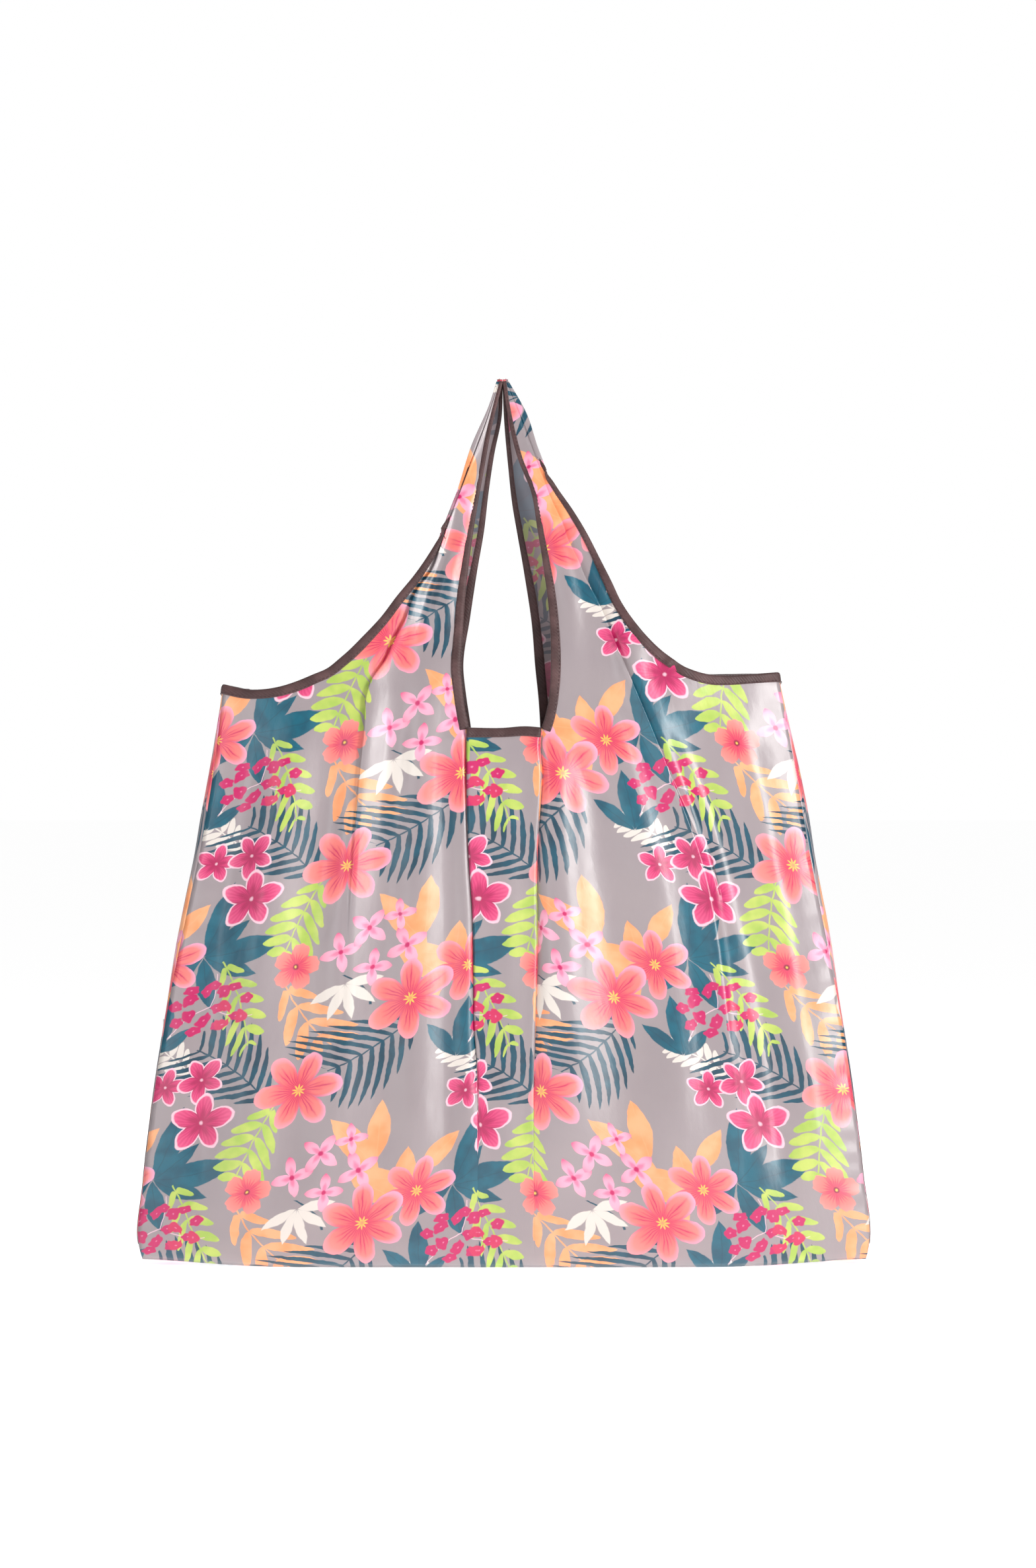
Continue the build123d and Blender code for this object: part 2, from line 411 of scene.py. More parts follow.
    def blossom(self, right, up, turn, size):  # pale rimmed magenta blossom of five pointed petals
        r, angle = self.polar(right, up, turn, size)
        off = self.petals(angle, 5)
        outline = 18.5 + (angle * 2).cos() * 1.4 - off.power(1.5) * 10.5
        self.lay((outline + 1.9 - r).edge(), inks["blush"])
        streak = ((angle * 40).cos() * 0.5 + 0.5) * 0.3
        share = (streak + (r / 18).power(2.0) * 0.8).least(1.0)
        petal = self.shade.mix(share, inks["magenta"], inks["magentaLight"])
        petal = self.shade.mix((off - 0.78).edge(0.15) * 0.5, petal, inks["darkMagenta"])
        self.lay((outline - r).edge(0.5), petal)
        self.lay(((1 - off) * 8 + 2 - r).edge(2.2) * 0.6, inks["heart"])
        self.lay((1.2 - r).edge(0.5) * 0.8, inks["blush"])

    def starlet(self, right, up, turn, size):  # pale pink blossom of four rounded petals
        r, angle = self.polar(right, up, turn, size)
        off = self.petals(angle, 4)
        outline = 14.5 - off.power(1.25) * 11.5
        petal = self.shade.mix((r / 14).least(1.0) * 0.7, inks["lightPink"], inks["blush"])
        flush = (angle.sin() * 0.5 + 0.3).edge(0.8) * (r / 14).power(3.0)
        petal = self.shade.mix(flush, petal, inks["magentaLight"])
        petal = self.shade.mix(((1 - off) * 6 + 1 - r).edge(1.6) * 0.6, petal, inks["magentaLight"])
        self.lay((outline - r).edge(), petal)
        self.lay((1.7 - r).edge(0.5), inks["magenta"])

    def berries(self, right, up, turn, count, ring, size, squash, colour):
        a, b = self.at(right, up, turn)
        b = b * squash
        radius = (a * a + b * b).power(0.5)
        angle = self.shade.node("ShaderNodeMath", {"operation": "ARCTAN2"}, {0: b, 1: a})
        step = 2 * math.pi / count
        away = radius - (ring + (angle * 2.5).cos() * 2.5)
        off = angle.wrapped(-step / 2, step / 2) * ring
        spread = (away * away + off * off).power(0.5)
        lobe = self.shade.node("ShaderNodeMath", {"operation": "ARCTAN2"}, {0: off, 1: away})
        self.lay((size - spread + (lobe * 5).cos() * 0.5).edge(0.4), colour)
        self.lay((size * 0.12 - spread).edge(0.4) * 0.6, inks["lightPink"])


def drawPattern(shade, cloth):
    wobble = shade.vector("SUBTRACT", shade.noise(cloth, pattern["wobbleScale"], 2.0, 1), (0.5, 0.5, 0.5))
    wobble = shade.vector("MULTIPLY", wobble, (pattern["wobble"],) * 3)
    cloth = shade.vector("ADD", cloth, wobble)
    drawing = Print(shade, cloth)
    vary = shade.noise(cloth, 0.06)
    teal = shade.mix(vary.between(0.35, 0.65), inks["teal"], inks["tealLight"])
    palm = shade.mix(vary.between(0.3, 0.7), inks["tealShade"], inks["teal"])
    lime = shade.mix(vary.between(0.3, 0.7), inks["limeShade"], inks["lime"])
    orange = shade.mix(vary.between(0.3, 0.7), inks["orange"], inks["orangeLight"])
    # pale fern and orange foliage lie lowest
    drawing.frond(-85, 12, 140, 44, 13, 6.4, 0.5, 3.2, inks["cream"], 0.004, True)
    foliage = ((74, -60, 139, 60, 17), (70, -52, 97, 46, 16), (98, -86, 152, 54, 17), (96, -84, 96, 44, 16),
               (90, -78, 250, 34, 12), (102, -62, 52, 42, 14), (92, -66, 176, 38, 13))
    for right, up, turn, length, width in foliage:
        drawing.leaf(right, up, turn, length, width, orange, inks["orangeLight"])
    drawing.frond(-28, 80, -56, 62, 23, 15.0, 0.8, 5.8, orange, 0.003, True)
    # teal leaves in a spray
    for turn, length, width in ((72, 58, 17), (40, 42, 11), (7, 62, 19), (-20, 46, 12), (-74, 42, 14),
                                (-140, 36, 11)):
        drawing.leaf(-96, 99, turn, length, width, teal, inks["tealShade"], 0.002)
    drawing.frond(-22, -8, 137, 70, 36, 8.2, 0.6, 2.9, palm, 0.003)
    drawing.frond(76, -112, 228, 68, 38, 8.2, 0.6, 2.9, palm, -0.003)
    drawing.stem(40, -104, 100, 26, 0.03, 0.9, palm)
    # lime sprays
    drawing.frond(-16, -12, 246, 58, 22, 10.0, 0.5, 4.7, lime, 0.002, True)
    drawing.frond(-80, 96, -50, 68, 17, 12.5, 0.75, 4.2, lime, -0.003, True)
    # a second, smaller spray fills the ground between the columns
    for turn, length, width in ((86, 46, 15), (134, 36, 11), (38, 30, 9)):
        drawing.leaf(112, 26, turn, length, width, teal, inks["tealShade"], 0.002)
    # pale star of leaves
    for turn in (12, -28, -68, -106, -146):
        drawing.leaf(18, 80, turn, 29, 7.6, inks["cream"])
    drawing.bigFlower(-122, 94, 25, 0.88)
    # berries on thin pale stems
    for turn, length in ((75, 24), (200, 34), (330, 32)):
        drawing.stem(-82, 62, turn, length, 0.012, 0.3, inks["blush"])
    drawing.berries(-82, 62, 15, 9, 25, 5.0, 1.45, inks["magenta"])
    drawing.berries(-86, 64, 40, 6, 13, 5.2, 1.2, inks["magenta"])
    drawing.berries(-66, 56, 0, 3, 7, 4.4, 1.0, inks["deepPink"])
    # blossoms and flowers lie on top
    starlets = ((9.5, -65, 20, 1.08), (27, -47, 60, 1.1), (58, -59, 35, 1.1), (36, -76, 5, 1.0),
                (48, -36, 15, 0.85))
    for right, up, turn, size in starlets:
        drawing.starlet(right, up, turn, size)
    drawing.blossom(-102, 1, 10, 0.80)
    drawing.blossom(-76, 7, 55, 0.90)
    drawing.blossom(-69, -25, 20, 1.18)
    drawing.hibiscus(-22, 92, 12, 1.0)
    drawing.bigFlower(0, 0, 14, 1.0)
    drawing.bigFlower(69, -99, 40, 1.02)
    return drawing.colour


def printedMaterial(name, strength, roughness):
    shade = Shade(name)
    cloth = shade.node("ShaderNodeAttribute", {"attribute_name": "cloth"}, {}, 1)
    cloth = shade.vector("MULTIPLY", cloth, (1000, 1000, 1000))
    colour = drawPattern(shade, cloth)
    if strength < 1:  # the dye shows through the back of the cloth, duller and darker
        colour = shade.mix(1 - strength, colour, inks["reverse"])
    s, t = shade.split(cloth)
    weave = (s * 9.0).sin() * 0.5 + (t * 9.0).sin() * 0.5
    crinkle = shade.noise(shade.vector("MULTIPLY", cloth, (0.16, 0.07, 1)), 1.0, 3.0)
    height = weave * 0.012 + crinkle * 0.55
    bump = shade.node("ShaderNodeBump", {}, {"Strength": 0.35, "Distance": 0.001, "Height": height})
    shade.feed(Base_Color=colour, Roughness=shade.noise(cloth, 0.05) * 0.14 + roughness, Normal=bump,
               Specular_IOR_Level=0.9, Sheen_Weight=0.12, Sheen_Roughness=0.4)
    return shade.material


def plain(name, colour, roughness, grain=0.25, metallic=0.0):
    shade = Shade(name)
    place = shade.node("ShaderNodeTexCoord", {}, {}, 3)
    vary = shade.noise(place, 90.0, 3.0)
    tone = [min(1.0, v * 1.35 + 0.004) for v in colour[:3]]
    fine = shade.noise(place, 1400.0, 2.0)
    bump = shade.node("ShaderNodeBump", {}, {"Strength": grain, "Distance": 0.0004, "Height": fine})
    shade.feed(Base_Color=shade.mix(vary.between(0.3, 0.7), colour, (*tone, 1.0)),
               Roughness=vary * 0.15 + (roughness - 0.07), Normal=bump, Metallic=metallic)
    return shade.material


def tapeMaterial(name, colour, roughness):  # ribbed satin tape
    shade = Shade(name)
    place = shade.node("ShaderNodeTexCoord", {}, {}, 3)
    vary = shade.noise(place, 60.0, 3.0)
    ribs = shade.node("ShaderNodeTexWave", {"bands_direction": "DIAGONAL"}, {"Vector": place, "Scale": 240.0})
    tone = [min(1.0, v * 1.7 + 0.01) for v in colour[:3]]
    bump = shade.node("ShaderNodeBump", {}, {"Strength": 0.3, "Distance": 0.0003, "Height": ribs})
    shade.feed(Base_Color=shade.mix(vary.between(0.35, 0.75), colour, (*tone, 1.0)),
               Roughness=vary * 0.2 + roughness, Normal=bump, Sheen_Weight=0.2, Sheen_Roughness=0.5)
    return shade.material


printedCloth = printedMaterial("printedCloth", 1.0, 0.25)
clothInside = printedMaterial("clothInside", 0.45, 0.5)
bindingTape = tapeMaterial("bindingTape", ink(70, 44, 44), 0.4)
thread = plain("thread", ink(66, 42, 46), 0.6)
seamTape = tapeMaterial("seamTape", ink(80, 56, 58), 0.5)
labelSatin = plain("labelSatin", ink(236, 232, 228), 0.3)
snapMetal = plain("snapMetal", ink(190, 188, 184), 0.28, 0.05, 1.0)
print("materials ready")


# The cloth, in millimetres. Lines are (height, x), and left is -X as the front is seen.
shoulderLevel = 455.0
neckLevel = 404.0
handleTop = 668.0
bodyDepth = [(0, 40), (5, 46), (14, 49), (30, 50), (217, 46), (433, 39), (455, 37.3), (662, 3.4), (668, 2.6)]
bodySide = [(0, 272), (14, 275), (60, 271), (149, 261), (217, 250), (272, 241), (348, 228), (437, 210)]
bag = {
    "clothThickness": 0.45,
    "rowPitch": 3.4,
    "strapPitch": 3.0,
    "sideDrop": 0.40,  # how far the panels fall back towards the side seams
    "hiddenCloth": 0.216,  # cloth folded away in each box pleat, for each mm of height
    "seamPucker": 0.35,
}

frontSheet = {
    "name": "front",
    "facing": -1.0,
    "leftSeam": [(0, -271), (14, -273.5), (60, -270), (149, -259), (217, -247.5), (272, -236), (320, -226),
                 (372, -217.5), (437, -210)],
    "rightSeam": [(0, 274), (14, 276), (70, 271), (149, 261), (231, 247), (307, 232), (372, 221), (445, 208)],
    "leftOuter": [(0, -178), (200, -158), (350, -138), (455, -123), (461, -116), (473, -104), (487, -91),
                  (503, -79), (519, -66), (540, -52), (556, -43), (589, -32.6), (618, -23.7),
                  (652, -9.4), (668, -4.5)],
    "rightOuter": [(0, 215), (200, 186), (350, 148), (455, 129), (460, 122), (471, 110), (484, 99), (499, 89),
                   (515, 81.5), (531, 73.6), (554, 62), (569, 53), (589, 39.5), (614, 28.2), (645, 17.8),
                   (668, 5)],
    "leftArmhole": [(-123, 455), (-129, 450), (-142, 444), (-154, 439), (-167, 435), (-180, 433), (-192, 433),
                    (-210, 437)],
    "rightArmhole": [(129, 455), (133, 452), (144, 447), (156, 444), (172, 443.6), (188, 444.5), (208, 446)],
    "leftInner": [(0, -19), (139, -19), (187, -20), (264, -21), (311, -24), (396, -25.5), (404, -25.5),
                  (415, -28),
                  (432, -30.5), (451, -32), (468, -31), (504, -28.5), (552, -22.5), (599, -14.5), (632, -8.5),
                  (668, 0.2)],
    "rightInner": [(0, 24), (154, 24), (230, 26), (311, 26), (368, 29), (404, 30), (408, 31.6), (421, 35),
                   (437, 37), (457, 37.5), (486, 36.6), (520, 32.6), (554, 27.2), (585, 21.7), (607, 12.8),
                   (645, 4), (668, 0.6)],
    "leftCrease": [(0, -120), (150, -117), (300, -112), (400, -104), (441, -98), (457, -87), (470, -81.5),
                   (487, -72.6), (509, -64), (524, -53), (540, -47), (558, -41), (600, -25.5), (640, -11),
                   (668, -2.6)],
    "rightCrease": [(0, 185), (150, 172), (310, 149), (361, 130), (446, 95), (462, 88), (481, 80.5),
                    (502, 71.6),
                    (518, 63), (533, 57), (546, 50.4), (559, 46), (577, 37.5), (599, 29), (640, 14),
                    (668, 3)],
    "neckDip": [(-25.5, 404), (0, 403.8), (18, 405), (30, 404)],
    "creaseOverlap": [(0, -3), (250, -2), (380, 2), (420, 6), (500, 7), (545, 5), (590, 1.5), (668, 0.3)],
    "creaseDepth": [(0, 0), (200, 0.4), (340, 1.2), (430, 3.2), (520, 3.2), (600, 1.6), (668, 0.6)],
    "pleatOverlap": [(0, -3), (120, -2.5), (180, 1), (260, 5), (380, 9), (404, 9), (425, 0), (440, -1),
                     (668, -0.2)],
    "pleatDepth": [(0, 0), (110, 0.4), (180, 1.6), (300, 3.0), (404, 3.6), (430, 0.6), (480, 0.0), (668, 0)],
    # soft folds: (height, x) line, half width, height of the fold, lowest and highest level
    "folds": [
        ([(40, 4), (400, 6)], 9, 2.0, 30, 400),
        ([(60, 60), (250, 50), (400, 40)], 15, 5.0, 40, 400),
        ([(60, 100), (200, 90), (390, 68)], 14, -3.6, 20, 410),
        ([(60, 138), (250, 122), (420, 82)], 13, 4.2, 40, 440),
        ([(80, 184), (200, 166), (310, 149), (446, 96)], 11, 5.0, 80, 500),
        ([(60, 212), (250, 184), (400, 140)], 13, -4.0, 20, 430),
        ([(60, 242), (250, 216), (420, 178)], 13, 3.4, 20, 430),
        ([(60, -40), (250, -38), (390, -38)], 8, -3.4, 40, 400),
        ([(60, -62), (250, -64), (420, -58)], 14, 4.6, 30, 470),
        ([(60, -92), (250, -90), (420, -80)], 10, -2.6, 20, 440),
        ([(60, -124), (250, -118), (441, -93)], 12, 4.0, 60, 470),
        ([(60, -158), (250, -146), (420, -122)], 14, -4.0, 20, 440),
        ([(60, -196), (250, -180), (420, -154)], 14, 3.8, 20, 430),
        ([(60, -230), (250, -214), (400, -188)], 12, -2.6, 20, 420),
        ([(430, 58), (520, 48), (600, 22)], 8, 3.0, 430, 640),
        ([(430, -48), (520, -40), (600, -20)], 8, 3.0, 430, 640),
        ([(430, 104), (480, 92), (540, 62)], 6, -2.2, 430, 560),
        ([(430, -66), (500, -56), (560, -34)], 5, -2.0, 420, 600),
    ],
    "leftRoll": (545, 575),  # between these levels the bound outer edge turns behind the strap
    "rightRoll": (588, 612),
    "calmMiddle": 0.0,
    "printShift": 0.0,
    "phase": 0.0,
}
backSheet = dict(
    frontSheet,
    name="back",
    facing=1.0,
    leftSeam=[(z, x + 1.5) for z, x in frontSheet["leftSeam"]],
    rightSeam=[(z, x - 1.5) for z, x in frontSheet["rightSeam"]],
    leftArmhole=[(x, z + 1.4 * math.sin(math.pi * (x + 123) / -87)) for x, z in frontSheet["leftArmhole"]],
    rightArmhole=[(x, z + 2.4 * math.sin(math.pi * (x - 129) / 79)) for x, z in frontSheet["rightArmhole"]],
    leftInner=[(0, -24), (154, -24), (300, -25), (404, -25), (432, -29), (451, -31), (490, -25.7), (526, -20),
               (555, -14.8), (586, -10.9), (615, -6.4), (641, -1), (668, 0)],
    rightInner=[(0, 21), (154, 22), (300, 25), (404, 30), (426, 28.7), (451, 26.2), (486, 23.2), (527, 16.8),
                (554, 11.9), (577, 7.9), (604, 4.9), (641, 1.6), (668, 0.4)],
    pleatDepth=[(0, 0), (110, 0.3), (180, 0.8), (300, 0.9), (404, 1.2), (430, 0.4), (480, 0.0), (668, 0)],
    calmMiddle=14.0,  # half width of the flat strip under the closure tab
    folds=[
        ([(60, 52), (250, 50), (420, 46)], 13, 4.4, 40, 430),
        ([(60, 86), (250, 80), (420, 66)], 12, -3.2, 20, 430),
        ([(60, 126), (250, 112), (441, 92)], 14, 4.6, 40, 450),
        ([(60, 166), (250, 148), (420, 122)], 14, -3.6, 20, 430),
        ([(60, 206), (250, 188), (420, 160)], 15, 3.4, 20, 430),
        ([(60, -54), (250, -52), (420, -46)], 14, 4.2, 40, 430),
        ([(60, -90), (250, -84), (420, -64)], 12, -3.4, 20, 430),
        ([(60, -134), (250, -122), (441, -90)], 13, 4.8, 40, 450),
        ([(60, -172), (250, -156), (420, -124)], 14, -3.4, 20, 430),
        ([(60, -214), (250, -198), (420, -160)], 14, 3.0, 20, 430),
        ([(430, 56), (520, 42), (600, 18)], 8, 2.4, 430, 640),
        ([(430, -56), (520, -44), (600, -18)], 8, 2.4, 430, 640),
    ],
    printShift=96.0,
    phase=2.1,
)


def sideAt(z):
    return curveAt(bodySide, np.minimum(z, 437))


def bulge(sheet, x, z):  # how far the cloth stands out from the middle plane
    depth = curveAt(bodyDepth, z)
    across = np.clip(np.abs(x) / sideAt(z), 0, 1.02)
    onBody = 1 - smoothStep(430, 520, z)
    depth = depth * (1 - bag["sideDrop"] * across**4 * onBody)
    for line, width, height, low, high in sheet["folds"]:
        fade = smoothStep(low, low + 90, z) * (1 - smoothStep(high - 60, high + 5, z))
        depth = depth + height * fade * np.exp(-(((x - curveAt(line, z)) / width) ** 2))
    phase = sheet["phase"]
    ripple = np.sin(x / 17 + 0.8 * np.sin(z / 61 + phase) + phase) * np.sin(z / 83 + x / 90 + phase)
    ripple = ripple + 0.5 * np.sin(x / 9.5 - z / 47 + 2 * phase) * np.sin(z / 39 + phase)
    ripple = ripple + 0.25 * np.sin(x / 5.3 + z / 15 + phase) * np.sin(z / 21 - x / 33)
    calm = np.where(z > 455, 0.45, 1.0)
    if sheet["calmMiddle"]:
        calm = calm * (1 - np.exp(-((x / sheet["calmMiddle"]) ** 4)))
    depth = depth + 0.75 * ripple * calm * smoothStep(0, 40, z) * (1 - smoothStep(600, 660, z))
    fromSeam = sideAt(z) - 4 - np.abs(x)
    pucker = np.sin(z / 2.6 + phase) + 0.6 * np.sin(z / 4.3 + 2)
    depth = depth + bag["seamPucker"] * pucker * np.exp(-np.abs(fromSeam) / 9) * onBody
    hem = np.sin(x / 3.1 + phase) + 0.7 * np.sin(x / 5.2)
    return depth + 0.35 * hem * np.exp(-z / 11)


def pleat(line, overlap, depth, spacing, rightInFront):  # the four columns of a fold, left to right
    def columns(z):
        at = curveAt(line, z)
        over = curveAt(overlap, z)
        deep = curveAt(depth, z)
        room = spacing(z)
        over = np.clip(over, -room * 0.4, room * 0.8)
        behind, crest = deep, -deep * 0.7
        if rightInFront:
            return [(at - room, 0.15 * deep), (at + over, behind), (at, crest), (at + room, crest * 0.4)]
        return [(at - room, crest * 0.4), (at, crest), (at - over, behind), (at + room, 0.15 * deep)]

    return columns


def levels():
    body = np.linspace(0, neckLevel, round(neckLevel / bag["rowPitch"]) + 1)
    neck = np.linspace(neckLevel, shoulderLevel, 17)[1:]
    count = round((handleTop - shoulderLevel) / bag["strapPitch"]) + 1
    strap = np.linspace(shoulderLevel, handleTop, count)[1:]
    return body, neck, strap


def lowerEdge(x, z):  # the hem rises a little towards the bag's corners
    rise = 4.5 * smoothStep(150, 275, np.abs(x)) ** 1.4
    return rise * np.exp(-z / 40)


def gridFaces(rows, columns, offset, flip):
    faces = []
    for r in range(rows - 1):
        for c in range(columns - 1):
            a = offset + r * columns + c
            quad = (a, a + 1, a + columns + 1, a + columns)
            faces.append(quad[::-1] if flip else quad)
    return faces


def sheetGrids(sheet):
    body, neck, upper = levels()
    bodyRows = np.concatenate([body, neck])
    allRows = np.concatenate([bodyRows, upper])
    over, deep = sheet["creaseOverlap"], sheet["creaseDepth"]

    def creaseRoom(z, side):
        width = abs(curveAt(sheet[side + "Inner"], z) - curveAt(sheet[side + "Outer"], z))
        return np.minimum(7, np.maximum(width, 2) * 0.13)

    leftCrease = pleat(sheet["leftCrease"], over, deep, lambda z: creaseRoom(z, "left"), True)
    rightCrease = pleat(sheet["rightCrease"], over, deep, lambda z: creaseRoom(z, "right"), False)
    grids = []

    def hidden(z):
        return np.maximum(0, z - 30) * bag["hiddenCloth"] * (1 - smoothStep(404, 900, z))

    def addGrid(label, rows, columnsAt, counts, zOf=None):
        grid = np.zeros((len(rows), sum(counts) + 1, 3))
        cloth = np.zeros((len(rows), sum(counts) + 1, 2))
        for r, level in enumerate(rows):
            knots = np.array(columnsAt(level))  # x, depth offset, cloth coordinate
            line = throughKnots(knots[:, :2], counts)
            across = np.concatenate([[0], np.cumsum(counts)])
            s = np.interp(np.arange(sum(counts) + 1), across, knots[:, 2])
            z = np.full(len(line), level) if zOf is None else zOf(level, line[:, 0])
            out = bulge(sheet, line[:, 0], z) - line[:, 1]
            grid[r, :, 0] = line[:, 0]
            grid[r, :, 1] = sheet["facing"] * out
            grid[r, :, 2] = z + lowerEdge(line[:, 0], z)
            cloth[r, :, 0] = s + sheet["printShift"]
            cloth[r, :, 1] = z
        grids.append((label, grid, cloth))

    def rolledEdge(outer, inner, z, span, h):  # above the span the bound edge is rolled behind the strap
        inward = np.sign(inner - outer)
        room = abs(inner - outer)
        rolled = smoothStep(*span, z)
        crest = outer + inward * min(1.6, room * 0.2) * (1 - rolled)
        edge = outer + inward * min(5.5, room * 0.55) * rolled
        return [(edge, 3.0 * rolled, outer + h), (crest, 0.2 * rolled, crest + h)]

    def strap(side, z):  # knots from the outer edge to the inner one, and the other way on the right
        left = side == "left"
        sign = -1 if left else 1
        outer, inner = curveAt(sheet[side + "Outer"], z), curveAt(sheet[side + "Inner"], z)
        fold = leftCrease(z) if left else rightCrease(z)[::-1]
        near = fold[-1][0]
        h = sign * hidden(z)
        tuck = curveAt(sheet["pleatDepth"], z) * 0.5 * (1 - smoothStep(392, 403, z))
        knots = rolledEdge(outer, inner, z, sheet[side + "Roll"], h)
        knots += [(x, dy, x + h) for x, dy in fold]
        knots += [(x, 0, x + h) for x in ((near * 2 + inner) / 3, (near + inner * 2) / 3)]
        knots += [(inner + sign * 0.6, tuck * 0.4, inner + h), (inner, tuck * 1.6, inner + h)]
        return knots if left else knots[::-1]

    def centre(z):
        left, right = curveAt(sheet["leftInner"], z), curveAt(sheet["rightInner"], z)
        over = curveAt(sheet["pleatOverlap"], z)
        deep = curveAt(sheet["pleatDepth"], z)
        h = hidden(z)
        closed, opened = min(max(over, 0), 1), min(max(-over, 0), 1)
        behind = left + max(over, 0) + 0.6 * opened
        crest = left - 1.2 * closed + 1.4 * opened
        knots = [(left, deep * 0.8, left - h), (behind, deep, left - h / 2), (crest, -deep * 0.7, left)]
        knots += [(left + 5, -deep * 0.6, left + 5), ((left + right) / 2, -deep * 0.3, (left + right) / 2)]
        knots += [(right - 5, -deep * 0.6, right - 5), (right - 0.6, -deep * 0.7, right)]
        knots += [(right + deep * 0.3, deep * 0.3, right + h * 0.3)]
        knots += [(right + 0.1 + deep * 0.2, deep * 0.8, right + h)]
        return knots

    def shoulder(seam, outer, armhole, low):
        def columns(level):
            share = level / shoulderLevel
            sideTop = armhole[-1][1]
            edge = curveAt(seam, share * sideTop)
            inner = curveAt(outer, level)
            spans = np.linspace(0, 1, low)
            xs = edge + (inner - edge) * spans
            h = hidden(level)
            sign = -1 if edge < 0 else 1
            knots = [(x, 0, x + sign * h) for x in xs]
            return knots if edge < 0 else knots[::-1]

        def height(level, x):
            edge, inner = curveAt(seam, armhole[-1][1] * level / shoulderLevel), curveAt(outer, level)
            share = np.clip((x - edge) / (inner - edge), 0, 1)
            topX = armhole[-1][0] + (armhole[0][0] - armhole[-1][0]) * share
            return level / shoulderLevel * curveAt(armhole, topX)

        return columns, height

    leftColumns, leftHeight = shoulder(sheet["leftSeam"], sheet["leftOuter"], sheet["leftArmhole"], 7)
    rightColumns, rightHeight = shoulder(sheet["rightSeam"], sheet["rightOuter"], sheet["rightArmhole"], 7)
    addGrid("leftShoulder", bodyRows, leftColumns, [4] * 6, leftHeight)
    addGrid("leftStrap", allRows, lambda z: strap("left", z), [3, 6, 3, 4, 3, 5, 5, 6, 1])
    neckRise = lambda level, x: level + (curveAt(sheet["neckDip"], np.clip(x, -25.4, 29.9)) - neckLevel) * (
        level / neckLevel) ** 8
    addGrid("centre", body, centre, [2, 3, 2, 6, 6, 2, 2, 2], neckRise)
    addGrid("rightStrap", allRows, lambda z: strap("right", z), [1, 6, 5, 5, 3, 4, 3, 6, 3])
    addGrid("rightShoulder", bodyRows, rightColumns, [4] * 6, rightHeight)
    return {label: (grid, cloth) for label, grid, cloth in grids}


def solidSheet(name, grids, material, inside, flip):
    points, cloth, faces = [], [], []
    for grid, coordinates in grids:
        rows, columns = grid.shape[:2]
        faces += gridFaces(rows, columns, len(points), flip)
        points += list(grid.reshape(-1, 3))
        cloth += list(coordinates.reshape(-1, 2))
    made = meshObject(name, points, faces, [material, inside])
    layer = made.data.attributes.new("cloth", "FLOAT_VECTOR", "POINT")
    layer.data.foreach_set("vector", np.c_[np.array(cloth) * mm, np.zeros(len(cloth))].ravel())
    work = bmesh.new()
    work.from_mesh(made.data)
    bmesh.ops.remove_doubles(work, verts=work.verts, dist=0.02 * mm)
    work.to_mesh(made.data)
    work.free()
    thick = made.modifiers.new("thickness", "SOLIDIFY")
    thick.thickness = bag["clothThickness"] * mm
    thick.offset = -1
    thick.material_offset = 1
    thick.material_offset_rim = 0
    applyModifiers(made)
    return made


def applyModifiers(piece):
    ready = piece.evaluated_get(bpy.context.evaluated_depsgraph_get())
    mesh = bpy.data.meshes.new_from_object(ready)
    piece.modifiers.clear()
    piece.data = mesh


def keepFaces(piece, name, keep):  # a copy with only the faces whose middle passes the test
    mesh = piece.data.copy()
    made = bpy.data.objects.new(name, mesh)
    bpy.context.scene.collection.objects.link(made)
    normals = np.zeros(len(mesh.vertices) * 3)
    mesh.vertex_normals.foreach_get("vector", normals)
    layer = mesh.attributes.new("restNormal", "FLOAT_VECTOR", "POINT")
    layer.data.foreach_set("vector", normals)
    work = bmesh.new()
    work.from_mesh(mesh)
    gone = [face for face in work.faces if not keep(face.calc_center_median())]
    bmesh.ops.delete(work, geom=gone, context="FACES")
    work.to_mesh(mesh)
    work.free()
    kept = np.zeros(len(mesh.vertices) * 3, np.float32)
    mesh.attributes["restNormal"].data.foreach_get("vector", kept)
    mesh.normals_split_custom_set_from_vertices(kept.reshape(-1, 3))
    mesh.attributes.remove(mesh.attributes["restNormal"])
    return made


# sewn tape, swept along the edges of the cloth
tape = {
    "strapWidths": [(455, 6.4), (490, 5.9), (522, 5.0), (560, 4.0), (620, 3.0), (668, 2.4)],
    "strapThickness": [(400, 1.1), (440, 1.1), (470, 1.3), (560, 0.95), (668, 0.6)],
    "stitchLength": 2.1,
    "stitchPitch": 3.0,
    "stitchInset": 1.0,  # from the tape's sewn border
    "stitchRadius": 0.2,
}
# across the tape in widths from the edge, and out from the cloth in half thicknesses
foldedProfile = [(1.0, 0.35), (0.94, 0.85), (0.72, 0.95), (0.4, 1.05), (0.1, 1.0), (-0.1, 0.55), (-0.15, 0.0),
                 (-0.1, -0.55), (0.1, -1.0), (0.4, -1.05), (0.72, -0.95), (0.94, -0.85), (1.0, -0.35)]


def evenly(line, pitch):  # the same line with points at an even pitch
    steps = np.r_[0, np.cumsum(np.linalg.norm(np.diff(line[:, :3], axis=0), axis=1))]
    count = max(2, round(steps[-1] / pitch) + 1)
    at = np.linspace(0, steps[-1], count)
    return np.stack([np.interp(at, steps, line[:, k]) for k in range(line.shape[1])], 1)


